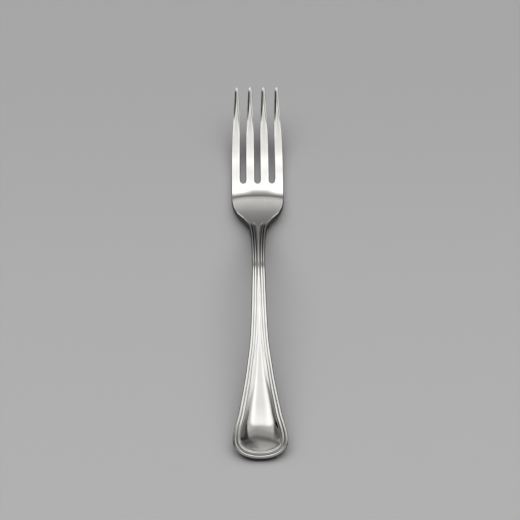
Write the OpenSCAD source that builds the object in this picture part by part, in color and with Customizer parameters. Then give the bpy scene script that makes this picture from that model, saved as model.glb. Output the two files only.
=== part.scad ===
// Baby fork with four tines and a double thread border round the handle, in millimetres.
// The real fork is one forging: a flat blank is cut out, struck between two dies, which press in
// the thread border, and then bent along its length. It is drawn here in the same order. A point
// of the blank is [x, u, h]: x across it, u along it from the handle end to the tine tips, and h
// up from its middle surface. form() then bends the blank and lays the fork on the table.

/* [Overall] */
// Length of the fork as it lies, from the handle end to the tine tips
fork_l = 150; // [130:1:170]
// Width across the four tines
head_w = 20; // [19:0.1:22]
// Width of the handle near its broad end
handle_w = 18.9; // [16:0.1:21]
// Width of the neck where it is narrowest
neck_w = 4.8; // [4.4:0.1:6]

/* [Tines] */
// Width of a tine where it leaves the root
tine_w = 3.3; // [2.9:0.05:3.6]
// Width of a tine where its rounded tip starts
tip_w = 1.65; // [1:0.05:1.8]
// Share by which the tips stand closer together than the roots of the tines
tip_closing = 0.06; // [0:0.01:0.1]
// Depth of the hollow across the front of the head where the tines start
head_hollow = 0.3; // [0:0.05:0.5]

/* [Thickness] */
// Thickness at the thread border of the handle end
end_t = 1.9; // [1.6:0.1:2.4]
// Thickness of the neck
neck_t = 3.1; // [2.6:0.1:3.6]
// Thickness of the root, where the slots between the tines end
root_t = 1.9; // [1.6:0.1:2.4]
// Thickness at the tine tips
tip_t = 1; // [0.8:0.1:1.4]

/* [Thread border] */
// Width of the two threads together at the handle end
border_end = 2.4; // [2:0.1:3.4]
// Width of the two threads together at the neck
border_neck = 1.75; // [1.4:0.05:1.9]
// Depth of the grooves beside the threads
groove_d = 0.25; // [0.15:0.05:0.4]
// Rise of the front field between the borders, as a share of half its width
field_rise = 0.055; // [0:0.005:0.1]

/* [Hidden] */

// Stations along the blank, as shares of its length: the widest place of the handle, the place
// where the crest of its field starts to fall to the end, the starts of the shank and the neck,
// the narrowest place of the neck, the start of the root, the full width of the head, the ends of
// the slots, where the tines start, and the start of their rounded tips
AT_WIDEST = 0.043;
AT_FIELD_END = 0.08;
AT_SHANK = 0.27;
AT_NECK = 0.45;
AT_NARROWEST = 0.475;
AT_ROOT = 0.607;
AT_HEAD = 0.69;
AT_SLOTS = 0.749;
AT_TIPS = 0.985;

// Slope of the blank along its length: [station, degrees above level]
BEND = [[0, 22], [0.05, 16.2], [0.1, 13], [0.25, 7], [0.36, 2.5], [0.47, -9], [0.57, -20],
  [0.662, -10], [0.743, 0.5], [0.86, 16.5], [1, 31]];

// Half width of the blank up to the slots: [station, millimetres]
FLARE = (handle_w - neck_w) / 2;
SHOULDER = (head_w - neck_w) / 2;
OUTLINE = [[AT_WIDEST, handle_w / 2], [0.1, neck_w / 2 + 0.72 * FLARE],
  [0.19, neck_w / 2 + 0.345 * FLARE], [0.29, neck_w / 2 + 0.1 * FLARE],
  [0.4, neck_w / 2 + 0.02 * FLARE], [AT_NARROWEST, neck_w / 2],
  [0.545, neck_w / 2 + 0.035 * SHOULDER], [0.591, neck_w / 2 + 0.13 * SHOULDER],
  [0.618, neck_w / 2 + 0.4 * SHOULDER], [0.644, neck_w / 2 + 0.78 * SHOULDER],
  [0.667, neck_w / 2 + 0.945 * SHOULDER], [AT_HEAD, head_w / 2]];

// Thickness of the blank, how far the thread border is struck into it, from 1 to 0, and how far the
// front of the head rises from its middle to its sides
THICKNESS = [[0, end_t], [0.1, end_t], [0.3, 0.4 * end_t + 0.6 * neck_t], [0.5, neck_t],
  [0.58, neck_t], [0.66, 0.7 * root_t + 0.3 * neck_t], [AT_SLOTS, root_t], [1, tip_t]];
STRIKE = [[0.588, 1], [0.604, 0]];
HOLLOW = [[AT_ROOT, 0], [AT_SLOTS, head_hollow], [1, 0.5 * head_hollow]];

// Handle: shares of the border that its two threads take, the outer one first, the rise of the
// back field as a share of the front one's, and the powers of the superellipses that round the
// handle end, the edges all round the fork and the flat-topped threads
THREADS = [0.54, 0.46];
BACK_RISE = 0.3;
END_POWER = 2.25;
EDGE_POWER = 2.6;
THREAD_POWER = 4;

// Tines: distance between their middles, half width and depth of the slots' round ends, radius of
// the edges, width along a tine, how much lower its sides are than its middle and how far the
// tines have closed in
PITCH = (head_w - tine_w) / 3;
SLOT_R = (PITCH - tine_w) / 2;
SLOT_END = 1.4 * SLOT_R;
TINE_EDGE = 0.2;
TINE_WIDTH = [[AT_SLOTS, tine_w], [0.87, 0.93 * tine_w], [0.94, 0.42 * tine_w + 0.58 * tip_w],
  [AT_TIPS, tip_w]];
CROWN = [[0.86, 0], [0.955, 0.5]];
CLOSING = [[0.8, 0], [1, tip_closing]];

// Steps round one thread, from the border to the middle of a field, round the handle end, along
// the sections of the handle, along the root, round an edge, round a slot's end, along a tine
// and along its tip, and the turn in degrees at which the tip stops
THREAD_STEPS = 6;
FIELD_STEPS = 4;
END_STEPS = 16;
HANDLE_STEPS = 16;
ROOT_STEPS = 14;
EDGE_STEPS = 3;
SLOT_STEPS = 8;
TINE_STEPS = 14;
TIP_STEPS = 5;
TIP_TURN = 80;
SIDE_STEPS = 400;

// A smooth curve through knots of [station, value] that never swings past them, level at its ends
function steepness(k, i) = (k[i + 1][1] - k[i][1]) / (k[i + 1][0] - k[i][0]);
function tangent(k, i) =
  i == 0 || i == len(k) - 1 ? 0 :
  let (before = steepness(k, i - 1), after = steepness(k, i))
  before * after <= 0 ? 0 : 2 * before * after / (before + after);
function segment(k, q, i = 0) = i >= len(k) - 2 || q < k[i + 1][0] ? i : segment(k, q, i + 1);
function smooth(k, q) =
  let (i = segment(k, q), w = k[i + 1][0] - k[i][0], s = min(1, max(0, (q - k[i][0]) / w)))
  (1 + 2 * s) * pow(1 - s, 2) * k[i][1] + s * s * (3 - 2 * s) * k[i + 1][1]
  + w * s * (1 - s) * ((1 - s) * tangent(k, i) - s * tangent(k, i + 1));

// A rounded-over edge at a turn of 0 to 90 degrees: share of its radius in from the outline, and
// share of the full height
function edge_in(a) = 1 - pow(cos(a), 2 / EDGE_POWER);
function edge_up(a) = pow(sin(a), 2 / EDGE_POWER);

// Side view of the middle surface of a blank of length 1, stepped out from its bends, and a point
// [u, h] of a blank of length l on that view
function stride(i, tilt) =
  let (a = smooth(BEND, (i + 0.5) / SIDE_STEPS) - tilt)
  [cos(a), sin(a)] / SIDE_STEPS;
function side_view(tilt) =
  [for (i = 0, p = [0, 0]; i <= SIDE_STEPS; p = p + stride(i, tilt), i = i + 1) p];
function on_view(view, l, tilt, u, h) =
  let (q = u / l, i = min(SIDE_STEPS - 1, max(0, floor(q * SIDE_STEPS))),
    a = smooth(BEND, q) - tilt,
    c = (view[i] + (view[i + 1] - view[i]) * (q * SIDE_STEPS - i)) * l)
  [c.x - h * sin(a), c.y + h * cos(a)];

// The back of the rounded handle end, and the back of the head, on such a view
function end_back(view, l, tilt) =
  [for (a = [0:5:90])
    on_view(view, l, tilt, THREADS[0] * border_end / 2 * edge_in(a), -end_t / 2 * edge_up(a))];
function head_back(view, l, tilt) =
  [for (i = [floor(AT_ROOT * SIDE_STEPS):SIDE_STEPS])
    on_view(view, l, tilt, i / SIDE_STEPS * l, -smooth(THICKNESS, i / SIDE_STEPS) / 2)];

// The blank is tilted until both of them touch the table
LOOSE = side_view(0);
LOOSE_L = fork_l / LOOSE[SIDE_STEPS].x;
function lowest(points, tilt) =
  let (drops = [for (p = points) p.x * sin(tilt) - p.y * cos(tilt)])
  points[search(max(drops), drops)[0]];
function settle(tilt, rounds) =
  rounds == 0 ? tilt :
  let (reach = lowest(head_back(LOOSE, LOOSE_L, 0), tilt) - lowest(end_back(LOOSE, LOOSE_L, 0), tilt))
  settle(atan2(reach.y, reach.x), rounds - 1);
TILT = settle(0, 3);
SIDE = side_view(TILT);
BLANK_L = fork_l / SIDE[SIDE_STEPS].x;
REST_Z = min([for (p = concat(end_back(SIDE, BLANK_L, TILT), head_back(SIDE, BLANK_L, TILT))) p.y]);

// A point of the flat blank, with the front of the head hollowed, bent, and laid on the table with the
// fork's middle over the origin
function form(p) =
  let (front = 0.5 + 0.5 * p.z / half_thickness(p.y),
    h = p.z + front * smooth(HOLLOW, p.y / BLANK_L) * pow(2 * p.x / head_w, 2),
    c = on_view(SIDE, BLANK_L, TILT, p.y, h))
  [p.x, c.x - fork_l / 2, c.y - REST_Z];

// Sizes of the blank at a place along it
function half_width(u) = smooth(OUTLINE, u / BLANK_L);
function half_thickness(u) = smooth(THICKNESS, u / BLANK_L) / 2;
function border_w(u) =
  border_neck + (border_end - border_neck) * (half_width(u) - neck_w / 2) / FLARE;
function struck(u) = smooth(STRIKE, u / BLANK_L);

// Places along the blank from one station to another, and a point between two others
function places(from, to, steps) = [for (i = [0:steps]) (from + (to - from) * i / steps) * BLANK_L];
function between(a, b, s) = a + (b - a) * s;

// A whole line across the blank, from its right half listed from the edge to the middle
function whole(half) =
  concat([for (p = half) [-p.x, p.y, p.z]], [for (i = [len(half) - 2:-1:0]) half[i]]);

// A solid skinned over front and back lines that run from the left edge to the right and share
// their end points. The first pair may fold shut on itself, and then needs no face across it.
module skin(fronts, backs, folded = false) {
  n = len(fronts[0]);
  size = 2 * n - 2;
  last = (len(fronts) - 1) * size;
  points = [for (k = [0:len(fronts) - 1])
    each concat(fronts[k], [for (i = [n - 2:-1:1]) backs[k][i]])];
  sides = [for (k = [0:len(fronts) - 2]) for (i = [0:size - 1])
    let (a = k * size + i, b = k * size + (i + 1) % size)
    each [[a, a + size, b + size], [a, b + size, b]]];
  face = [for (i = [0:n - 2])
    each concat(i < n - 2 ? [[i, i + 1, size - i - 1]] : [],
      i > 0 ? [[i, size - i - 1, size - i]] : [])];
  far_face = [for (f = face) [last + f[2], last + f[1], last + f[0]]];
  polyhedron([for (p = points) form(p)], concat(sides, folded ? [] : face, far_face));
}

// Edge points of the handle as [edge, inward direction]: round the end, and along the side
function end_edge(a) =
  let (depth = AT_WIDEST * BLANK_L, x = handle_w / 2 * pow(cos(a), 2 / END_POWER),
    v = depth * pow(sin(a), 2 / END_POWER),
    outward = [pow(x / (handle_w / 2), END_POWER - 1) / handle_w * 2,
      -pow(v / depth, END_POWER - 1) / depth])
  [[x, depth - v], -outward / norm(outward)];
function side_edge(u) = [[half_width(u), u], [-1, 0]];

// Half width of the field inside the border, which closes in round the handle end
ROUND_FIELD = [for (i = [END_STEPS:-1:0])
  let (e = end_edge(90 * i / END_STEPS), p = e[0] + e[1] * border_w(e[0].y))
  [p.y, p.x]];
function field_half(u) =
  u < AT_WIDEST * BLANK_L ? lookup(u, ROUND_FIELD) : half_width(u) - border_w(u);

// Height of the field above the grooves. It is crowned across the handle, and falls to the border
// at the handle end.
function field_height(x, u, side) =
  let (out = min(1, abs(x) / max(0.01, field_half(u))), full = AT_FIELD_END * BLANK_L,
    fall = min(1, max(0, (full - u) / (full - ROUND_FIELD[0][0]))),
    rise = field_rise * (half_width(u) - border_w(u)) * (side > 0 ? 1 : BACK_RISE))
  (groove_d + rise) * struck(u) * max(0, 1 - pow(out, 2) - pow(fall, 2) * (1 - pow(out, 3)));

// Right half of a line across the handle, from its edge to the spine, on the front (side 1) or on
// the back (side -1): the two threads along the inward direction of the edge, and then the field.
function handle_half(edge, inward, spine, side) =
  let (w = border_w(edge.y), r = THREADS * w / 2, g = groove_d * struck(edge.y))
  concat(
    [for (i = [0:THREAD_STEPS])
      let (a = 180 * i / THREAD_STEPS, p = edge + inward * r[0] * (a < 90 ? edge_in(a) : 1 - cos(a)),
        t = half_thickness(p.y))
      [p.x, p.y, side * (a < 90 ? t * edge_up(a) : t - g * pow(-cos(a), THREAD_POWER))]],
    [for (i = [1:THREAD_STEPS])
      let (a = 180 * i / THREAD_STEPS, p = edge + inward * (2 * r[0] + r[1] * (1 - cos(a))))
      [p.x, p.y, side * (half_thickness(p.y) - g * pow(abs(cos(a)), THREAD_POWER))]],
    [for (i = [1:FIELD_STEPS])
      let (p = between(edge + inward * w, spine, i / FIELD_STEPS))
      [p.x, p.y, side * (half_thickness(p.y) - groove_d * struck(p.y) + field_height(p.x, p.y, side))]]);

module handle_length(edges, folded = false) {
  lines = function (side) [for (e = edges)
    whole(handle_half(e[0], e[1], [0, max(e[0].y, AT_FIELD_END * BLANK_L)], side))];
  skin(lines(1), lines(-1), folded);
}

// Broad end of the handle, with the threads carried round it
module handle_end() {
  round_edges = [for (i = [END_STEPS:-1:1]) end_edge(90 * i / END_STEPS)];
  side_edges = [for (u = places(AT_WIDEST, AT_SHANK, HANDLE_STEPS)) side_edge(u)];
  color("silver") handle_length(concat(round_edges, side_edges), folded = true);
}

// Slim middle length of the handle
module shank() {
  color("silver") handle_length([for (u = places(AT_SHANK, AT_NECK, HANDLE_STEPS)) side_edge(u)]);
}

// Narrow neck, which drops to the root while the threads run out
module neck() {
  color("silver") handle_length([for (u = places(AT_NECK, AT_ROOT, HANDLE_STEPS)) side_edge(u)]);
}

// Right half of a line across the root at a share of its length, from the rounded edge to the
// middle. Each column of points stops at the end of its tine, or at the round end of a slot.
EDGE_R = [[AT_ROOT, THREADS[0] * border_w(AT_ROOT * BLANK_L) / 2], [AT_SLOTS, TINE_EDGE]];
ROOT_COLUMNS = concat(
  [[1.5 * PITCH, 0]],
  [for (i = [0:SLOT_STEPS])
    let (a = 180 * i / SLOT_STEPS)
    [PITCH + SLOT_R * cos(a), SLOT_END * sin(a)]],
  [[PITCH / 2, 0]],
  [for (i = [0:SLOT_STEPS / 2])
    let (a = 180 * i / SLOT_STEPS)
    [SLOT_R * cos(a), SLOT_END * sin(a)]]);
function root_half(share, side) =
  let (from = AT_ROOT * BLANK_L, to = AT_SLOTS * BLANK_L, edge_u = between(from, to, share),
    edge_r = smooth(EDGE_R, edge_u / BLANK_L))
  concat(
    [for (i = [0:EDGE_STEPS]) let (a = 90 * i / EDGE_STEPS)
      [half_width(edge_u) - edge_r * edge_in(a), edge_u, side * half_thickness(edge_u) * edge_up(a)]],
    [for (c = ROOT_COLUMNS)
      let (u = between(from, to - c[1], share), r = smooth(EDGE_R, u / BLANK_L))
      [c[0] * (half_width(u) - r) / (head_w / 2 - TINE_EDGE), u, side * half_thickness(u)]]);

// Root: the flat of the head, from the shoulders to the round ends of the slots
module root() {
  lines = function (side) [for (i = [0:ROOT_STEPS]) whole(root_half(i / ROOT_STEPS, side))];
  color("silver") skin(lines(1), lines(-1));
}

// Right half of a line across a tine of half width w and half thickness t, before it is moved
// sideways. Its sides are rounded over, and towards the tip they lie lower than its middle.
function tine_half(w, t, u, side) =
  let (r = min(TINE_EDGE, 0.8 * w), crown = smooth(CROWN, u / BLANK_L),
    height = function (x) side * t * (1 - crown * pow(x / w, 2)))
  concat([for (i = [0:EDGE_STEPS])
      let (a = 90 * i / EDGE_STEPS, x = w - r * edge_in(a))
      [x, u, height(x) * edge_up(a)]],
    [for (x = [w / 2, 0]) [x, u, height(x)]]);

// One tine, counted from 0 on the left. It closes in and thins towards its tip, which is rounded
// off over the last stretch of the blank.
module tine(k) {
  tip_l = (1 - AT_TIPS) * BLANK_L;
  body = [for (u = places(AT_SLOTS, AT_TIPS, TINE_STEPS)) [u, 1]];
  tip = [for (i = [1:TIP_STEPS])
    let (a = TIP_TURN * i / TIP_STEPS)
    [AT_TIPS * BLANK_L + tip_l * sin(a), cos(a)]];
  lines = function (side) [for (s = concat(body, tip))
    let (q = s[0] / BLANK_L, middle = (k - 1.5) * PITCH * (1 - smooth(CLOSING, q)),
      half = tine_half(s[1] * smooth(TINE_WIDTH, q) / 2, s[1] * half_thickness(s[0]), s[0], side))
    [for (p = whole(half)) p + [middle, 0, 0]]];
  skin(lines(1), lines(-1));
}

module tine_outer_left() {
  color("silver") tine(0);
}

module tine_inner_left() {
  color("silver") tine(1);
}

module tine_inner_right() {
  color("silver") tine(2);
}

module tine_outer_right() {
  color("silver") tine(3);
}

handle_end();
shank();
neck();
root();
tine_outer_left();
tine_inner_left();
tine_inner_right();
tine_outer_right();
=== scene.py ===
import math

import bmesh
import bpy
import numpy as np
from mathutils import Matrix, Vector


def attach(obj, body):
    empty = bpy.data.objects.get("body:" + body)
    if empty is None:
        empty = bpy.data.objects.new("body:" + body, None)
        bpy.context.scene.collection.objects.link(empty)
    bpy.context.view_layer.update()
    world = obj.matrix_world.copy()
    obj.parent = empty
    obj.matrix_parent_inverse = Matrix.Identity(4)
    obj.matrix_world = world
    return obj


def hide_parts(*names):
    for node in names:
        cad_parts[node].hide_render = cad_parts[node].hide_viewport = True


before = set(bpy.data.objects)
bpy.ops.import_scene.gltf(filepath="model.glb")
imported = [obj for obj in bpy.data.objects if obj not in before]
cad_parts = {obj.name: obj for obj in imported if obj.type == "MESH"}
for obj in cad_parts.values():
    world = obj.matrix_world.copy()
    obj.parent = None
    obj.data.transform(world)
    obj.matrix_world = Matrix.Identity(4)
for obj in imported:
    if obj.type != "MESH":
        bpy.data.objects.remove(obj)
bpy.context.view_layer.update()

# Handle end: the broad end of a fork that is one forging of silver-coloured metal. A flat blank is cut
# out, struck between two dies, which press in the double thread border, and bent along its length.
# A point of the blank is x across it, u along it from the handle end, and h up from its middle.
MM = 0.001
FORK_L = 150 * MM
HEAD_W = 20 * MM
HANDLE_W = 18.9 * MM
NECK_W = 4.8 * MM
END_T = 1.9 * MM
NECK_T = 3.1 * MM
ROOT_T = 1.9 * MM
TIP_T = 1.0 * MM
BORDER_END = 2.4 * MM
BORDER_NECK = 1.75 * MM
GROOVE_D = 0.25 * MM
# Shares: of the field's half width in its rise, of that rise on the back, and of the border in each thread
FIELD_RISE = 0.055
BACK_RISE = 0.3
THREADS = (0.54, 0.46)
# Powers of the curves round the handle end, over the rounded edge and down into a groove
END_POWER = 2.25
EDGE_POWER = 2.6
THREAD_POWER = 4

# Stations along the blank, as shares of its length
AT_WIDEST = 0.043
AT_FIELD_END = 0.08
AT_SHANK = 0.27
AT_NECK = 0.45
AT_NARROWEST = 0.475
AT_ROOT = 0.607
AT_HEAD = 0.69
AT_SLOTS = 0.749

# At stations along the blank: slope in degrees, half width, thickness, how much of the border is struck,
# and the hollow on the front of the head
BEND = ((0, 22), (0.05, 16.2), (0.1, 13), (0.25, 7), (0.36, 2.5), (0.47, -9), (0.57, -20),
        (0.662, -10), (0.743, 0.5), (0.86, 16.5), (1, 31))
FLARE = (HANDLE_W - NECK_W) / 2
SHOULDER = (HEAD_W - NECK_W) / 2
OUTLINE = ((AT_WIDEST, HANDLE_W / 2), (0.1, NECK_W / 2 + 0.72 * FLARE),
           (0.19, NECK_W / 2 + 0.345 * FLARE), (0.29, NECK_W / 2 + 0.1 * FLARE),
           (0.4, NECK_W / 2 + 0.02 * FLARE), (AT_NARROWEST, NECK_W / 2),
           (0.545, NECK_W / 2 + 0.035 * SHOULDER), (0.591, NECK_W / 2 + 0.13 * SHOULDER),
           (0.618, NECK_W / 2 + 0.4 * SHOULDER), (0.644, NECK_W / 2 + 0.78 * SHOULDER),
           (0.667, NECK_W / 2 + 0.945 * SHOULDER), (AT_HEAD, HEAD_W / 2))
THICKNESS = ((0, END_T), (0.1, END_T), (0.3, 0.4 * END_T + 0.6 * NECK_T), (0.5, NECK_T),
             (0.58, NECK_T), (0.66, 0.7 * ROOT_T + 0.3 * NECK_T), (AT_SLOTS, ROOT_T), (1, TIP_T))
STRIKE = ((0.588, 1), (0.604, 0))
HEAD_HOLLOW = 0.3 * MM
HOLLOW = ((AT_ROOT, 0), (AT_SLOTS, HEAD_HOLLOW), (1, 0.5 * HEAD_HOLLOW))


def smooth(knots, station):
    """A curve through knots that never swings past them and is level at its ends."""
    at, value = np.array(knots, float).T
    width = np.diff(at)
    slope = np.diff(value) / width
    before, after = slope[:-1], slope[1:]
    turns = before * after <= 0
    tangent = np.zeros(len(at))
    tangent[1:-1] = np.where(turns, 0, 2 * before * after / np.where(turns, 1, before + after))
    i = np.clip(np.searchsorted(at, station, side="right") - 1, 0, len(width) - 1)
    s = np.clip((station - at[i]) / width[i], 0, 1)
    return ((1 + 2 * s) * (1 - s) ** 2 * value[i] + s * s * (3 - 2 * s) * value[i + 1]
            + width[i] * s * (1 - s) * ((1 - s) * tangent[i] - s * tangent[i + 1]))


# A rounded-over edge from the outline up: share of its radius in, and share of the full height
EDGE_STEPS = 6
EDGE_TURN = np.radians(90 * np.arange(EDGE_STEPS + 1) / EDGE_STEPS)
EDGE_IN = 1 - np.cos(EDGE_TURN).clip(0) ** (2 / EDGE_POWER)
EDGE_UP = np.sin(EDGE_TURN) ** (2 / EDGE_POWER)

# Side view of the middle surface, stepped out from its bends
SIDE_STEPS = 4000
SIDE_STATIONS = np.linspace(0, 1, SIDE_STEPS + 1)


def side_view(tilt):
    """Points along the middle surface of a blank of length 1, as y and z, when it is tilted down."""
    a = np.radians(smooth(BEND, SIDE_STATIONS[:-1] + 0.5 / SIDE_STEPS) - tilt)
    strides = np.stack([np.cos(a), np.sin(a)], 1) / SIDE_STEPS
    return np.vstack([np.zeros((1, 2)), np.cumsum(strides, 0)])


def on_view(tilt, u, h):
    """Points of the blank seen from the side, as y and z."""
    view = side_view(tilt)
    length = FORK_L / view[-1, 0]
    station = u / length
    a = np.radians(smooth(BEND, station) - tilt)
    y = np.interp(station, SIDE_STATIONS, view[:, 0]) * length
    z = np.interp(station, SIDE_STATIONS, view[:, 1]) * length
    return np.stack([y - h * np.sin(a), z + h * np.cos(a)], -1)


def backs(tilt):
    """The back of the rounded handle end and the back of the head, seen from the side."""
    head = SIDE_STATIONS[SIDE_STATIONS > AT_ROOT]
    length = FORK_L / side_view(tilt)[-1, 0]
    return (on_view(tilt, THREADS[0] * BORDER_END / 2 * EDGE_IN, -END_T / 2 * EDGE_UP),
            on_view(tilt, head * length, -smooth(THICKNESS, head) / 2))


# The blank is tilted until both of them touch the table
SETTLE_ROUNDS = 3
TILT = 0
for _ in range(SETTLE_ROUNDS):
    upward = (-math.sin(math.radians(TILT)), math.cos(math.radians(TILT)))
    end_low, head_low = (underside[(underside @ upward).argmin()] for underside in backs(0))
    TILT = math.degrees(math.atan2(head_low[1] - end_low[1], head_low[0] - end_low[0]))
BLANK_L = FORK_L / side_view(TILT)[-1, 0]
REST_Z = min(underside[:, 1].min() for underside in backs(TILT))


def form(blank):
    """Points of the blank, hollowed on the front of the head, bent and laid over the origin."""
    x, u, h = np.moveaxis(blank, -1, 0)
    front = 0.5 + 0.5 * h / half_thickness(u)
    h = h + front * smooth(HOLLOW, u / BLANK_L) * (2 * x / HEAD_W) ** 2
    y, z = np.moveaxis(on_view(TILT, u, h), -1, 0)
    return np.stack([x, y - FORK_L / 2, z - REST_Z], -1)


def half_width(u):
    return smooth(OUTLINE, u / BLANK_L)


def half_thickness(u):
    return smooth(THICKNESS, u / BLANK_L) / 2


def struck(u):
    """The share of the border's depth that is struck at a place along the blank."""
    return smooth(STRIKE, u / BLANK_L)


def border_w(u):
    return BORDER_NECK + (BORDER_END - BORDER_NECK) * (half_width(u) - NECK_W / 2) / FLARE


def end_edge(a):
    """Edge point and inward direction round the handle end, from 90 degrees at its middle to 0."""
    depth = AT_WIDEST * BLANK_L
    c, s = max(0.0, math.cos(math.radians(a))), math.sin(math.radians(a))
    x = HANDLE_W / 2 * c ** (2 / END_POWER)
    v = depth * s ** (2 / END_POWER)
    outward = np.array([(2 * x / HANDLE_W) ** (END_POWER - 1) * 2 / HANDLE_W,
                        -(v / depth) ** (END_POWER - 1) / depth])
    return np.array([x, depth - v]), -outward / np.linalg.norm(outward)


def side_edge(u):
    """Edge point and inward direction on the right side of the handle."""
    return np.array([half_width(u), u]), np.array([-1.0, 0.0])


# Columns of points from an edge to the middle: round the outer quarter of the outer thread, down its
# inner quarter, over the inner thread and across the field
FALL_STEPS = 8
INNER_STEPS = 16
FIELD_STEPS = 28
END_STEPS = 28
FALL_TURN = np.radians(90 + 90 * np.arange(1, FALL_STEPS + 1) / FALL_STEPS)
INNER_TURN = np.radians(180 * np.arange(1, INNER_STEPS + 1) / INNER_STEPS)
FIELD_SHARE = np.arange(1, FIELD_STEPS + 1) / FIELD_STEPS

# Tarnish in the grooves at stations along the blank: its strength, the power by which it thins out up
# a thread, the least of it over the inner thread, and its reach over the field
TARNISH_ALONG = ((0.38, 0.5), (0.5, 1))
TARNISH_POWER = ((0.42, 4), (0.51, 1), (0.545, 0.45), (0.58, 0.25))
TARNISH_OVER = ((0.465, 0), (0.52, 0.12))
TARNISH_W = ((0.47, 0.15 * MM), (0.54, 0.32 * MM))
# Where that least starts, in radii of the outer thread from the edge
OVER_FROM = 1.5

# Inner side of the border round the handle end, as half the field's width at places along the blank
round_edges = [end_edge(90 * i / END_STEPS) for i in range(END_STEPS, -1, -1)]
ROUND_FIELD = np.array([edge + inward * border_w(edge[1]) for edge, inward in round_edges])
FIELD_START = ROUND_FIELD[0, 1]
FIELD_FULL = AT_FIELD_END * BLANK_L


def field_height(x, u, side):
    """The field is crowned across the handle, and falls to the border at the handle end."""
    round_half = np.interp(u, ROUND_FIELD[:, 1], ROUND_FIELD[:, 0])
    half = np.where(u < ROUND_FIELD[-1, 1], round_half, half_width(u) - border_w(u))
    fall = np.clip((FIELD_FULL - u) / (FIELD_FULL - FIELD_START), 0, 1)
    rise = FIELD_RISE * (half_width(u) - border_w(u)) * (1 if side > 0 else BACK_RISE)
    out = np.abs(x) / half
    return (GROOVE_D + rise) * struck(u) * np.maximum(1 - out ** 2 - fall ** 2 * (1 - out ** 3), 0)


def whole(half):
    """A line across the blank from its right half, which is listed from the edge to the middle."""
    return np.vstack([half * [-1, 1, 1, 1], half[-2::-1]])


def handle_line(edge, inward, side):
    """Points across the handle on one face, as x, u, h and how tarnished each is."""
    station = edge[1] / BLANK_L
    w = border_w(edge[1])
    outer_r, inner_r = THREADS[0] * w / 2, THREADS[1] * w / 2
    reach = np.concatenate([outer_r * EDGE_IN, outer_r * (1 - np.cos(FALL_TURN)),
                            2 * outer_r + inner_r * (1 - np.cos(INNER_TURN))])
    threads = edge + inward * reach[:, None]
    depth = np.concatenate([0 * EDGE_TURN, np.abs(np.cos(np.concatenate([FALL_TURN, INNER_TURN])))])
    crest = np.concatenate([EDGE_UP, np.ones(FALL_STEPS + INNER_STEPS)])
    strike = struck(threads[:, 1])
    h = half_thickness(threads[:, 1]) * crest - GROOVE_D * strike * depth ** THREAD_POWER
    least = smooth(TARNISH_OVER, station) * (reach > OVER_FROM * outer_r)
    strength = smooth(TARNISH_ALONG, station)
    tarnish = strength * strike * np.maximum(depth ** smooth(TARNISH_POWER, station), least)
    spine = np.array([0, max(edge[1], FIELD_FULL)])
    field = threads[-1] + (spine - threads[-1]) * FIELD_SHARE[:, None]
    x, u = field.T
    field_h = half_thickness(u) - GROOVE_D * struck(u) + field_height(x, u, side)
    away = np.linalg.norm(field - threads[-1], axis=1)
    field_tarnish = strength * struck(u) * np.exp(-away / smooth(TARNISH_W, station))
    return whole(np.vstack([np.column_stack([threads, side * h, tarnish]),
                            np.column_stack([field, side * field_h, field_tarnish])]))


def handle_sheets(edges):
    """The front and back of a length of the handle."""
    return tuple(np.array([handle_line(edge, inward, side) for edge, inward in edges])
                 for side in (1, -1))


class Tone:
    """A socket of a node tree. Arithmetic on it adds Math nodes, and node() adds any other node."""

    def __init__(self, tree, socket=None):
        self.tree = tree
        self.socket = socket

    def node(self, kind, settings=None, inputs=None, output=0):
        made = self.tree.nodes.new(kind)
        for name, value in (settings or {}).items():
            if name == "stops":
                for at, _ in value[1:-1]:
                    made.color_ramp.elements.new(at)
                for stop, (at, grey) in zip(made.color_ramp.elements, value):
                    stop.position = at
                    stop.color = (grey, grey, grey, 1)
            else:
                setattr(made, name, value)
        for name, value in (inputs or {}).items():
            if isinstance(value, Tone):
                self.tree.links.new(value.socket, made.inputs[name])
            else:
                made.inputs[name].default_value = value
        return Tone(self.tree, made.outputs[output] if made.outputs else None)

    def maths(self, operation, *values):
        return self.node("ShaderNodeMath", {"operation": operation}, dict(enumerate(values)))

    def __add__(self, other):
        return self.maths("ADD", self, other)

    def __sub__(self, other):
        return self.maths("SUBTRACT", self, other)

    def __rsub__(self, other):
        return self.maths("SUBTRACT", other, self)

    def __mul__(self, other):
        return self.maths("MULTIPLY", self, other)

    def __pow__(self, other):
        return self.maths("POWER", self, other)

    __radd__ = __add__
    __rmul__ = __mul__

    def spread(self, low, high, to_low=0.0, to_high=1.0):
        """The share of the way from low to high, eased at both ends, as a value between two others."""
        return self.node("ShaderNodeMapRange", {"interpolation_type": "SMOOTHSTEP"},
                         {"Value": self, "From Min": low, "From Max": high,
                          "To Min": to_low, "To Max": to_high})

    def band(self, rise, fall):
        """1 between two soft edges and 0 outside them, where each edge is its start and its end."""
        return self.spread(*rise) * self.spread(*fall, 1, 0)

    def mixed(self, first, second):
        """The colour that lies this share of the way from the first to the second."""
        return self.node("ShaderNodeMix", {"data_type": "RGBA"}, {0: self, 6: first, 7: second}, 2)


# Finish: the metal is polished on a wheel along the fork, with a faint cloudiness, fine wheel lines, a
# few smudges from hands, and tarnish left in the grooves where the wheel can't reach
SILVER = (0.92, 0.905, 0.875, 1)
CLOUDED_SILVER = (0.86, 0.845, 0.81, 1)
TARNISH = (0.02, 0.016, 0.012, 1)
TARNISH_COVER = 0.96
TARNISH_ROUGHNESS = 0.3
POLISH = 0.02
DULLING = 0.03
WAVE_HEIGHT = 0.004 * MM
LINE_SHARE = 0.02
# How many there are to a millimetre: wheel lines across, along and up, and the other marks any way
WHEEL_LINES = (9.0, 0.35, 3.0)
CLOUDS = 0.16
SMUDGES = 0.42
WAVES = 0.12
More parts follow.
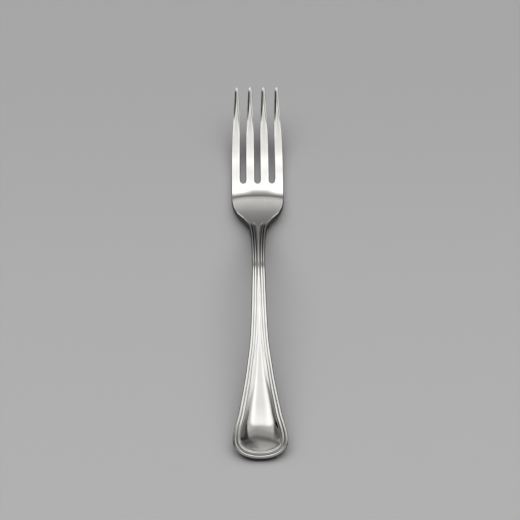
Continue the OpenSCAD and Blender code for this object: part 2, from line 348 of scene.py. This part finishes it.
# The part of each noise over which its mark comes in
CLOUDED = (0.35, 0.7)
SMUDGED = (0.55, 0.75)
LINED = (0.3, 0.7)
silver = bpy.data.materials.new("polished_silver")
silver.use_nodes = True
silver.node_tree.nodes.clear()
metal = Tone(silver.node_tree)
on_fork = metal.node("ShaderNodeTexCoord", output="Object")
in_mm = metal.node("ShaderNodeVectorMath", {"operation": "SCALE"}, {"Vector": on_fork, "Scale": 1 / MM})
wheeled = metal.node("ShaderNodeVectorMath", {"operation": "MULTIPLY"}, {0: in_mm, 1: WHEEL_LINES})
cloud = metal.node("ShaderNodeTexNoise", inputs={"Vector": in_mm, "Scale": CLOUDS, "Detail": 3.0})
smudge = metal.node("ShaderNodeTexNoise",
                    inputs={"Vector": in_mm, "Scale": SMUDGES, "Detail": 4.0, "Distortion": 0.6})
lines = metal.node("ShaderNodeTexNoise", inputs={"Vector": wheeled, "Scale": 1.0, "Detail": 2.0})
waves = metal.node("ShaderNodeTexNoise", inputs={"Vector": in_mm, "Scale": WAVES, "Detail": 1.0})
tarnish = metal.node("ShaderNodeAttribute", {"attribute_name": "tarnish"}, output="Fac")
tarnished = tarnish * TARNISH_COVER
clean = cloud.spread(*CLOUDED).mixed(SILVER, CLOUDED_SILVER)
tinted = tarnished.mixed(clean, TARNISH)
dulled = smudge.spread(*SMUDGED, 0, DULLING) + lines.spread(*LINED, 0, DULLING)
rough = POLISH + dulled + tarnished * TARNISH_ROUGHNESS
bumped = metal.node("ShaderNodeBump", inputs={"Strength": 1.0, "Distance": WAVE_HEIGHT,
                                              "Height": waves + lines * LINE_SHARE})
finish = metal.node("ShaderNodeBsdfPrincipled",
                    inputs={"Base Color": tinted, "Metallic": 1.0, "Roughness": rough,
                            "Normal": bumped})
metal.node("ShaderNodeOutputMaterial", inputs={"Surface": finish})

MERGE = 0.00005 * MM
SKIN, BEYOND = 0, 1


def forged(name, sheets, beyond=()):
    """A piece skinned over pairs of front and back sheets, closed where it was cut from the fork. The
    sheets beyond the cuts are its neighbours' and only let the shading run on across them."""
    work = bmesh.new()
    tarnish_layer = work.verts.layers.float.new("tarnish")
    shading = work.verts.layers.float_vector.new("shading")
    for pairs, mark in ((sheets, SKIN), (beyond, BEYOND)):
        for pair in pairs:
            for sheet_points, turn in zip(pair, (1, -1)):
                grid = [[work.verts.new(p) for p in line] for line in form(sheet_points[..., :3])]
                for line, points in zip(grid, sheet_points):
                    for vert, point in zip(line, points):
                        vert[tarnish_layer] = point[3]
                for near, far in zip(grid[:-1], grid[1:]):
                    for i in range(len(near) - 1):
                        quad = (near[i], near[i + 1], far[i + 1], far[i])
                        face = work.faces.new(quad[::turn])
                        face.smooth = True
                        face.material_index = mark
    bmesh.ops.remove_doubles(work, verts=work.verts[:], dist=MERGE)
    work.normal_update()
    for vert in work.verts:
        vert[shading] = vert.normal
    outside = [face for face in work.faces if face.material_index == BEYOND]
    bmesh.ops.delete(work, geom=outside, context="FACES")
    cut_edges = [edge for edge in work.edges if edge.is_boundary]
    for face in bmesh.ops.holes_fill(work, edges=cut_edges, sides=0)["faces"]:
        face.smooth = False
    bmesh.ops.recalc_face_normals(work, faces=work.faces[:])
    mesh = bpy.data.meshes.new(name)
    work.to_mesh(mesh)
    work.free()
    run_on = [Vector(item.vector) for item in mesh.attributes["shading"].data]
    mesh.normals_split_custom_set([run_on[mesh.loops[i].vertex_index] if face.use_smooth else face.normal
                                   for face in mesh.polygons for i in face.loop_indices])
    mesh.attributes.remove(mesh.attributes["shading"])
    mesh.materials.append(silver)
    piece = bpy.data.objects.new(name, mesh)
    bpy.context.scene.collection.objects.link(piece)
    return piece


def places(start, stop, steps):
    """Places along the blank from one station to another."""
    return [(start + (stop - start) * i / steps) * BLANK_L for i in range(steps + 1)]


def side_edges(start, stop, steps):
    return [side_edge(u) for u in places(start, stop, steps)]


HANDLE_END_STEPS = 64
SHANK_STEPS = 44
NECK_STEPS = 52
end_edges = round_edges[:-1] + side_edges(AT_WIDEST, AT_SHANK, HANDLE_END_STEPS)
shank_edges = side_edges(AT_SHANK, AT_NECK, SHANK_STEPS)
handle_end = forged("polished_handle_end", [handle_sheets(end_edges)],
                    [handle_sheets(shank_edges[:2])])
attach(handle_end, "root")
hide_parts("handle_end")

# Shank: the slim middle length of the handle, part of the same forging. The threads run along both
# of its edges and the crowned field between them narrows towards the neck.
neck_edges = side_edges(AT_NECK, AT_ROOT, NECK_STEPS)
shank = forged("polished_shank", [handle_sheets(shank_edges)],
               [handle_sheets(end_edges[-2:]), handle_sheets(neck_edges[:2])])
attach(shank, "root")
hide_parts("shank")

# Root: the flat of the head, from the sloping shoulders to the round ends of the slots, which are
# cut out of the blank and rounded over by polishing. It is made before the neck, which it bounds.
TINE_W = 3.3 * MM
TINE_EDGE = 0.2 * MM
TINE_COUNT = 4
PITCH = (HEAD_W - TINE_W) / (TINE_COUNT - 1)
SLOT_R = (PITCH - TINE_W) / 2
SLOT_END = 1.4 * SLOT_R
SLOT_MIDDLES = (-PITCH, 0, PITCH)
TINE_MIDDLES = tuple((k - (TINE_COUNT - 1) / 2) * PITCH for k in range(TINE_COUNT))
EDGE_R = ((AT_ROOT, THREADS[0] * border_w(AT_ROOT * BLANK_L) / 2), (AT_SLOTS, TINE_EDGE))
TINE_STEPS_ACROSS = 4
SLOT_STEPS = 16
ROOT_STEPS = 44
SPREAD_END = 0.75


def tine_columns(middle):
    """Places across a tine at its root, from its right side to its left, and no slot beyond them."""
    side = TINE_W / 2 - TINE_EDGE * EDGE_IN
    flat = np.linspace(side[-1], -side[-1], TINE_STEPS_ACROSS + 2)[1:-1]
    across = middle + np.concatenate([side, flat, -side[::-1]])
    return np.column_stack([across, 0 * across])


def slot_columns(middle, last):
    """Places round the end of a slot, from its right side, and how far each lies before the tines."""
    a = np.radians(180 * np.arange(1, last) / SLOT_STEPS)
    return np.column_stack([middle + SLOT_R * np.cos(a), SLOT_END * np.sin(a)])


# Columns along the root from its right edge to its middle: where they end at the tines, and the shares
# of the width inside the rounded edge that they stand at there and at the neck
HEAD_COLUMNS = np.vstack([tine_columns(TINE_MIDDLES[3])[len(EDGE_TURN):],
                          slot_columns(SLOT_MIDDLES[2], SLOT_STEPS), tine_columns(TINE_MIDDLES[2]),
                          slot_columns(SLOT_MIDDLES[1], SLOT_STEPS // 2 + 1)])
HEAD_SHARES = HEAD_COLUMNS[:, 0] / (HEAD_W / 2 - TINE_EDGE)
neck_columns = handle_line(*side_edge(AT_ROOT * BLANK_L), 1)[::-1, 0]
NECK_SHARES = neck_columns[len(EDGE_TURN):][:len(HEAD_SHARES)] / neck_columns[len(EDGE_TURN) - 1]


def rounded(distance, r):
    """Height of a rounded-over edge at a distance from it, as a share of the full height."""
    return (1 - (1 - np.clip(distance / r, 0, 1)) ** EDGE_POWER) ** (1 / EDGE_POWER)


def slot_distance(x, u, middle):
    """Distance from the round end of a slot, which is half an ellipse."""
    across, along_slot = (x - middle) / SLOT_R, (u - AT_SLOTS * BLANK_L) / SLOT_END
    size = np.hypot(across, along_slot)
    return (size - 1) * size / np.hypot(across / SLOT_R, along_slot / SLOT_END)


def root_line(share, side):
    """Points across the root at a share of its length. Columns before a slot stop at its round end."""
    start, stop = AT_ROOT * BLANK_L, AT_SLOTS * BLANK_L
    edge_u = start + (stop - start) * share
    u = np.concatenate([np.full(len(EDGE_TURN), edge_u),
                        start + (stop - HEAD_COLUMNS[:, 1] - start) * share])
    edge_r = smooth(EDGE_R, u / BLANK_L)
    spread = smooth(((0, 0), (SPREAD_END, 1)), share)
    shares = NECK_SHARES + (HEAD_SHARES - NECK_SHARES) * spread
    inset = np.concatenate([EDGE_IN, np.ones(len(shares))])
    scale = np.concatenate([np.ones(len(EDGE_TURN)), shares])
    x = (half_width(u) - edge_r * inset) * scale
    h = half_thickness(u) * rounded(half_width(u) - x, edge_r)
    for middle in SLOT_MIDDLES:
        h = h * rounded(slot_distance(x, u, middle), TINE_EDGE)
    return whole(np.column_stack([x, u, side * h, 0 * h]))


root_l = (AT_SLOTS - AT_ROOT) * BLANK_L
rim_shares = 1 - TINE_EDGE * EDGE_IN[::-1] / root_l
root_shares = np.concatenate([np.linspace(0, rim_shares[0], ROOT_STEPS + 1)[:-1], rim_shares])


def root_sheets(shares):
    """The front and back of a length of the root."""
    return tuple(np.array([root_line(share, side) for share in shares]) for side in (1, -1))


# Tines: four prongs of the same forging between the slots, ground to a taper and rounded over. They
# curve up towards their tips, close in a little and thin out.
AT_TIPS = 0.985
TIP_W = 1.65 * MM
TIP_CLOSING = 0.06
TINE_WIDTH = ((AT_SLOTS, TINE_W), (0.87, 0.93 * TINE_W), (0.94, 0.42 * TINE_W + 0.58 * TIP_W),
              (AT_TIPS, TIP_W))
TINE_CROWN = ((0.86, 0), (0.955, 0.5))
CLOSING = ((0.8, 0), (1, TIP_CLOSING))
TINE_STEPS = 70
TIP_STEPS = 10
# The most of half a tine's width that its rounded edge takes, and the turn of its round tip in degrees
EDGE_SHARE = 0.8
TIP_TURN = 80
FLAT_SHARES = np.linspace(1, -1, TINE_STEPS_ACROSS + 2)[1:-1]
TINES = ("tine_outer_left", "tine_inner_left", "tine_inner_right", "tine_outer_right")


def tine_line(k, u, full, side):
    """Points across tine k, counted from the left, where its width is a share of the full one."""
    station = u / BLANK_L
    middle = TINE_MIDDLES[k] * (1 - smooth(CLOSING, station))
    w = full * smooth(TINE_WIDTH, station) / 2
    r = min(TINE_EDGE, EDGE_SHARE * w)
    right = w - r * EDGE_IN
    x = np.concatenate([-right, -FLAT_SHARES * right[-1], right[::-1]])
    turn = np.concatenate([EDGE_UP, np.ones(TINE_STEPS_ACROSS), EDGE_UP[::-1]])
    crown = 1 - smooth(TINE_CROWN, station) * (x / w) ** 2
    h = full * half_thickness(u) * turn * crown
    return np.column_stack([middle + x, np.full(len(x), u), side * h, 0 * h])


tip_turn = np.radians(TIP_TURN * np.arange(1, TIP_STEPS + 1) / TIP_STEPS)
tip_l = (1 - AT_TIPS) * BLANK_L
tine_stations = [(u, 1.0) for u in places(AT_SLOTS, AT_TIPS, TINE_STEPS)]
tine_stations += [(AT_TIPS * BLANK_L + tip_l * math.sin(a), math.cos(a)) for a in tip_turn]


def tine_sheets(k, stations):
    """The front and back of a length of a tine."""
    return tuple(np.array([tine_line(k, u, full, side) for u, full in stations]) for side in (1, -1))


def root_behind(k):
    """The last strip of the root, where it carries tine k."""
    middle = TINE_MIDDLES[k]
    front, back = root_sheets(root_shares[-2:])
    carried = np.abs(front[1, :, 0] - middle) < TINE_W / 2 + MERGE
    carried &= np.abs(front[1, :, 1] - AT_SLOTS * BLANK_L) < MERGE
    return front[:, carried], back[:, carried]


for k, tine in enumerate(TINES):
    prong = forged(f"polished_{tine}", [tine_sheets(k, tine_stations)], [root_behind(k)])
    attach(prong, "root")
    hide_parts(tine)

# The root follows, now that the tines that it carries are drawn
tine_starts = [tine_sheets(k, tine_stations[:2]) for k in range(TINE_COUNT)]
root = forged("polished_root", [root_sheets(root_shares)],
              [handle_sheets(neck_edges[-2:])] + tine_starts)
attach(root, "root")
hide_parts("root")

# Neck: the narrow length of the same forging that drops from the shank to the root. It is the thickest
# part of the fork, and the threads that the dies press in run out at its lower end.
neck = forged("polished_neck", [handle_sheets(neck_edges)],
              [handle_sheets(shank_edges[-2:]), root_sheets(root_shares[:2])])
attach(neck, "root")
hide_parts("neck")

# Floor: a plain sheet of pale grey paper that the fork lies on. Painted light makes it paler on the near
# side, and painted shade makes it darker where the metal mirrors it.
# Painted light: the paper is paler on the near side than on the far side
NEAR_PAPER = (0.47, 0.47, 0.47, 1)
FAR_PAPER = (0.365, 0.365, 0.365, 1)
# Painted shade: the paper's darker colour where the metal mirrors it
PAINTED_SHADE_IN_MIRROR = (0.05, 0.05, 0.05, 1)
PAINTED_LIGHT_FADE = (-0.14, 0.16)
PAPER_ROUGHNESS = 0.9
PAPER_GLOSS = 0.2
FLOOR_HALF = 4.0
FLOOR_Z = -0.01 * MM
paper = bpy.data.materials.new("grey_paper")
paper.use_nodes = True
paper.node_tree.nodes.clear()
pulp = Tone(paper.node_tree)
on_paper = pulp.node("ShaderNodeNewGeometry", output="Position")
distance = pulp.node("ShaderNodeSeparateXYZ", inputs={0: on_paper}, output="Y")
mirrored = pulp.node("ShaderNodeLightPath", output="Is Glossy Ray")
# The paper's grey, with painted light paler on the near side and painted shade where the metal mirrors it
paper_grey_and_painted_light = mirrored.mixed(distance.spread(*PAINTED_LIGHT_FADE).mixed(NEAR_PAPER, FAR_PAPER), PAINTED_SHADE_IN_MIRROR)
matt = pulp.node("ShaderNodeBsdfPrincipled",
                 inputs={"Base Color": paper_grey_and_painted_light, "Roughness": PAPER_ROUGHNESS,
                         "Specular IOR Level": PAPER_GLOSS})
pulp.node("ShaderNodeOutputMaterial", inputs={"Surface": matt})


def laid_level(name, low, high, z, material):
    """A level sheet at a height, between two of its corners."""
    mesh = bpy.data.meshes.new(name)
    corners = [(low[0], low[1], z), (high[0], low[1], z), (high[0], high[1], z), (low[0], high[1], z)]
    mesh.from_pydata(corners, [], [(0, 1, 2, 3)])
    mesh.materials.append(material)
    level = bpy.data.objects.new(name, mesh)
    bpy.context.scene.collection.objects.link(level)
    return level


floor = laid_level("floor", (-FLOOR_HALF, -FLOOR_HALF), (FLOOR_HALF, FLOOR_HALF), FLOOR_Z, paper)

# Light: a wide lamp behind and above the fork lights the paper. The polished metal shows the studio: a
# bright softbox over the far side, grey walls, and paler ones at the left and right of the near side.
LAMP_W = 6.5
LAMP_L = 2.2
LAMP_AT = Vector((0, 1.2, 1.92))
LAMP_POWER = 124.5
lamp_data = bpy.data.lights.new("lamp", "AREA")
lamp_data.shape = "RECTANGLE"
lamp_data.size = LAMP_W
lamp_data.size_y = LAMP_L
lamp_data.energy = LAMP_POWER
lamp = bpy.data.objects.new("lamp", lamp_data)
lamp.location = LAMP_AT
lamp.rotation_mode = "QUATERNION"
lamp.rotation_quaternion = (-LAMP_AT).to_track_quat("-Z", "Y")
lamp.visible_glossy = False
bpy.context.scene.collection.objects.link(lamp)

# Brightness of the studio from the far horizon over the top to the near one, in degrees and level
PEAK = 1.3
HALF_TURN = 180
STUDIO = ((0, 0.13), (18, 0.18), (29, 0.3), (35, 0.42), (41.5, 0.6), (43.6, 0.45), (44.6, 0.1),
          (45.5, 0.26), (47.5, 0.46), (48.8, 0.75), (50, 1.3), (57, 1.12), (63, 1.02), (71, 1.15),
          (78, 0.93), (84, 0.85), (90, 0.8), (97, 0.68), (104, 0.54), (HALF_TURN, 0.03))
# Its brightness from the left to the right, as a share of that: the softbox is brightest at its sides
SIDES = ((-1, 0.6), (-0.65, 1), (-0.5, 1), (-0.42, 0.74), (-0.34, 0.64), (-0.28, 0.66), (-0.23, 0.95),
         (-0.18, 1.22), (-0.1, 1.04), (-0.04, 1), (0.1, 1), (0.15, 1.1), (0.2, 1.22), (0.25, 1.12),
         (0.285, 0.8), (0.32, 0.6), (0.36, 0.6), (0.41, 0.78), (0.46, 0.78), (0.52, 0.95),
         (0.58, 1.05), (1, 0.6))
# A glow along the far edge of the softbox, off its middle: its level and its soft edges
EDGE_GLOW = 0.6
GLOW_OFF_MIDDLE = (0.012, 0.035)
GLOW_TURN = ((45.5, 48.5), (48.5, 50))
# A dim stretch on the right, from high overhead to the near side: how dim it is, and its soft edges
DIMMING = 0.5
DIM_TURN = (80, 86)
DIM_ASIDE = ((0.31, 0.37), (0.55, 0.7))
# The paler walls of the near side: their level and their soft edges
NEAR_WALL = 0.45
WALL_AHEAD = (-0.35, -0.6)
WALL_OFF_MIDDLE = (0.3, 0.5)
# The studio's light on the paper, and the wall that the camera sees past the paper
AMBIENT = 0.05
BACKDROP = 0.36
world = bpy.data.worlds.new("studio")
bpy.context.scene.world = world
world.use_nodes = True
world.node_tree.nodes.clear()
room = Tone(world.node_tree)
facing = room.node("ShaderNodeTexCoord", output="Generated")
aside = room.node("ShaderNodeSeparateXYZ", inputs={0: facing}, output="X")
ahead = room.node("ShaderNodeSeparateXYZ", inputs={0: facing}, output="Y")
up = room.node("ShaderNodeSeparateXYZ", inputs={0: facing}, output="Z")
off_middle = room.maths("ABSOLUTE", aside)
turn = room.maths("ARCTAN2", up, ahead) * (HALF_TURN / math.pi)
turn_stops = [(degrees / HALF_TURN, level / PEAK) for degrees, level in STUDIO]
side_stops = [(0.5 + 0.5 * x, level / PEAK) for x, level in SIDES]
lit = PEAK * room.node("ShaderNodeValToRGB", {"stops": turn_stops}, {0: turn * (1 / HALF_TURN)})
lit = lit + EDGE_GLOW * off_middle.spread(*GLOW_OFF_MIDDLE) * turn.band(*GLOW_TURN)
lit = lit * PEAK * room.node("ShaderNodeValToRGB", {"stops": side_stops}, {0: aside * 0.5 + 0.5})
lit = lit * (1 - DIMMING * turn.spread(*DIM_TURN) * aside.band(*DIM_ASIDE))
lit = lit + NEAR_WALL * ahead.spread(*WALL_AHEAD) * off_middle.spread(*WALL_OFF_MIDDLE)
shiny = room.node("ShaderNodeLightPath", output="Is Glossy Ray")
bounced = room.node("ShaderNodeLightPath", output="Diffuse Depth").spread(0, 1)
seen = room.node("ShaderNodeLightPath", output="Is Camera Ray")
shown = AMBIENT + (lit - AMBIENT) * shiny * (1 - bounced) + (BACKDROP - AMBIENT) * seen
backdrop = room.node("ShaderNodeBackground", inputs={"Color": shown, "Strength": 1.0})
room.node("ShaderNodeOutputWorld", inputs={"Surface": backdrop})

# Near room: the dim part of the studio over the near side, with a dark flag on the left, and a dark
# board and a stand on the right. It is a level card over the fork that only reflections show, open
# below the softbox. Places on it are in metres across and along, and each soft edge is a pair of them.
NEAR_Z = 0.6
NEAR_LOW = (-1.2, -2.5)
NEAR_HIGH = (1.2, 0.1)
# Brightness at places along it, where the ramp of them starts, and how far they swing to the near
# side for each metre to the left or the right of a middle line
RAMP_START = -1
NEAR_LEVELS = ((-0.97, 0.36), (-0.7, 0.1), (-0.56, 0.05), (-0.51, 0.44), (-0.45, 0.45), (-0.41, 0.39),
               (-0.335, 0.32), (-0.31, 0.24), (-0.287, 0.15), (-0.268, 0.14), (-0.247, 0.19),
               (-0.225, 0.28), (-0.18, 0.335), (-0.14, 0.46), (-0.12, 0.5))
ARCH = 0.2
ARCH_MIDDLE = -0.05
dim = bpy.data.materials.new("near_room")
dim.use_nodes = True
dim.node_tree.nodes.clear()
card = Tone(dim.node_tree)
on_card = card.node("ShaderNodeNewGeometry", output="Position")
across = card.node("ShaderNodeSeparateXYZ", inputs={0: on_card}, output="X")
along = card.node("ShaderNodeSeparateXYZ", inputs={0: on_card}, output="Y")
near_stops = [(y - RAMP_START, level) for y, level in NEAR_LEVELS]
arched = along + ARCH * card.maths("ABSOLUTE", across - ARCH_MIDDLE)
glow = card.node("ShaderNodeValToRGB", {"stops": near_stops}, {0: arched - RAMP_START})

# A shaded patch on its left, and a glow over its far right corner
SHADE = 0.65
SHADE_RIGHT = (-0.1, 0.01)
SHADE_ALONG = ((-0.5, -0.44), (-0.33, -0.29))
CORNER_GLOW = 0.2
CORNER_LEFT = (0.27, 0.33)
CORNER_NEAR = (-0.19, -0.13)
shade = across.spread(*SHADE_RIGHT, SHADE, 0) * along.band(*SHADE_ALONG)
glow = glow * (1 - shade) + CORNER_GLOW * across.spread(*CORNER_LEFT) * along.spread(*CORNER_NEAR)

# The board stands aslant. It darkens from near to far, is paler at its far end, and darker by its left edge
BOARD_LEFT_SLANT = 0.39
BOARD_RIGHT_SLANT = 0.8
BOARD_LEFT = (0.21, 0.228)
BOARD_RIGHT = (0.325, 0.345)
BOARD_FADE = (-0.3, -0.14)
BOARD_LEVELS = (0.24, 0.12)
BOARD_FAR = (-0.06, 0)
BOARD_FAR_GLOW = 0.13
BOARD_EDGE = ((0.218, 0.226), (0.236, 0.246))
BOARD_EDGE_FAR = (-0.12, -0.14)
BOARD_EDGE_SHADE = 0.35
board_left = across - BOARD_LEFT_SLANT * along
board_right = across - BOARD_RIGHT_SLANT * along
board = board_left.spread(*BOARD_LEFT) * board_right.spread(*BOARD_RIGHT, 1, 0)
board_edge = board_left.band(*BOARD_EDGE) * along.spread(*BOARD_EDGE_FAR)
board_level = along.spread(*BOARD_FADE, *BOARD_LEVELS) + along.spread(*BOARD_FAR, 0, BOARD_FAR_GLOW)
board_level = board_level * (1 - BOARD_EDGE_SHADE * board_edge)
glow = glow * (1 - board) + board_level * board

# The flag stands aslant too. It is darkest at its outer part and by its right edge, and lit at its far end
FLAG_SLANT = 0.41
FLAG_RIGHT = (-0.216, -0.206)
FLAG_NEAR = (-0.38, -0.32)
FLAG_LEVEL = 0.16
FLAG_SLOPE = 0.28
FLAG_OUTER = (-0.29, -0.25)
FLAG_OUTER_SHARE = 0.12
FLAG_FAR = (-0.07, -0.03)
FLAG_FAR_LEFT = (-0.33, -0.29)
FLAG_FAR_GLOW = 0.32
FLAG_EDGE = ((-0.234, -0.227), (-0.217, -0.21))
FLAG_EDGE_NEAR = (-0.28, -0.26)
FLAG_EDGE_FAR = (-0.08, -0.1)
FLAG_EDGE_SHADE = 0.7
flag_right = across + FLAG_SLANT * along
flag = flag_right.spread(*FLAG_RIGHT, 1, 0) * along.spread(*FLAG_NEAR)
flag_edge = flag_right.band(*FLAG_EDGE) * along.spread(*FLAG_EDGE_NEAR) * along.spread(*FLAG_EDGE_FAR)
flag_level = (FLAG_LEVEL + FLAG_SLOPE * along) * across.spread(*FLAG_OUTER, FLAG_OUTER_SHARE, 1)
flag_level = flag_level + FLAG_FAR_GLOW * along.spread(*FLAG_FAR) * across.spread(*FLAG_FAR_LEFT)
flag_level = flag_level * (1 - FLAG_EDGE_SHADE * flag_edge)
glow = glow * (1 - flag) + flag_level * flag

# The stand is a small dark block beside the softbox
STAND_ACROSS = ((0.2, 0.212), (0.245, 0.26))
STAND_ALONG = ((-0.112, -0.1), (-0.075, -0.055))
STAND_SHADE = 0.97
stand = across.band(*STAND_ACROSS) * along.band(*STAND_ALONG)
glow = glow * (1 - STAND_SHADE * stand)

# The opening below the softbox has round near corners and a glowing rim, and is wider at its far end
SOFTBOX_MIDDLE = 0.02
SOFTBOX_FLAT = 0.065
SOFTBOX_CORNER = 0.115
SOFTBOX_NEAR = -0.135
SOFTBOX_EDGE = (-0.02, 0.015)
WIDER_ACROSS = ((-0.29, -0.26), (0.1, 0.2))
WIDER_NEAR = (-0.03, 0.01)
WIDEST_NEAR = (0.005, 0.035)
RIM = (0.02, 0.085)
RIM_GLOW = 0.28
past_side = card.maths("MAXIMUM", card.maths("ABSOLUTE", across - SOFTBOX_MIDDLE) - SOFTBOX_FLAT, 0.0)
past_near = card.maths("MAXIMUM", SOFTBOX_NEAR + SOFTBOX_CORNER - along, 0.0)
inside = SOFTBOX_CORNER - (past_side ** 2 + past_near ** 2) ** 0.5
wider = across.band(*WIDER_ACROSS) * along.spread(*WIDER_NEAR)
far_open = card.maths("MAXIMUM", wider, along.spread(*WIDEST_NEAR))
opening = card.maths("MAXIMUM", inside.spread(*SOFTBOX_EDGE), far_open) * (1 - stand)
rim = card.node("ShaderNodeEmission", inputs={"Color": inside.spread(*RIM, RIM_GLOW, 0)})
see_through = card.node("ShaderNodeBsdfTransparent")
opened = card.node("ShaderNodeAddShader", inputs={0: see_through, 1: rim})
closed = card.node("ShaderNodeEmission", inputs={"Color": glow})
panel = card.node("ShaderNodeMixShader", inputs={0: opening, 1: closed, 2: opened})
card.node("ShaderNodeOutputMaterial", inputs={"Surface": panel})
near_room = laid_level("near_room", NEAR_LOW, NEAR_HIGH, NEAR_Z, dim)
near_room.visible_camera = False
near_room.visible_diffuse = False
near_room.visible_shadow = False

# Camera: it looks down at the fork from the near side, at the photograph's viewing angle and framing.
# The picture is square.
VIEW_ELEVATION = math.radians(60)
VIEW_AZIMUTH = math.radians(-0.6)
VIEW_DISTANCE = 436.3 * MM
VIEW_TARGET = Vector((0.6 * MM, 3.57 * MM, 0))
SENSOR = 36.0
IMAGE_W = 520
FOCAL_PIXELS = 1167
CLIP_START = 0.01
to_camera = Vector((math.sin(VIEW_AZIMUTH) * math.cos(VIEW_ELEVATION),
                    -math.cos(VIEW_AZIMUTH) * math.cos(VIEW_ELEVATION), math.sin(VIEW_ELEVATION)))
camera_data = bpy.data.cameras.new("camera")
camera_data.sensor_width = SENSOR
camera_data.lens = SENSOR * FOCAL_PIXELS / IMAGE_W
camera_data.clip_start = CLIP_START
camera = bpy.data.objects.new("camera", camera_data)
camera.location = VIEW_TARGET + to_camera * VIEW_DISTANCE
camera.rotation_mode = "QUATERNION"
camera.rotation_quaternion = (-to_camera).to_track_quat("-Z", "Y")
bpy.context.scene.collection.objects.link(camera)
bpy.context.scene.camera = camera
bpy.context.scene.view_settings.view_transform = "Standard"
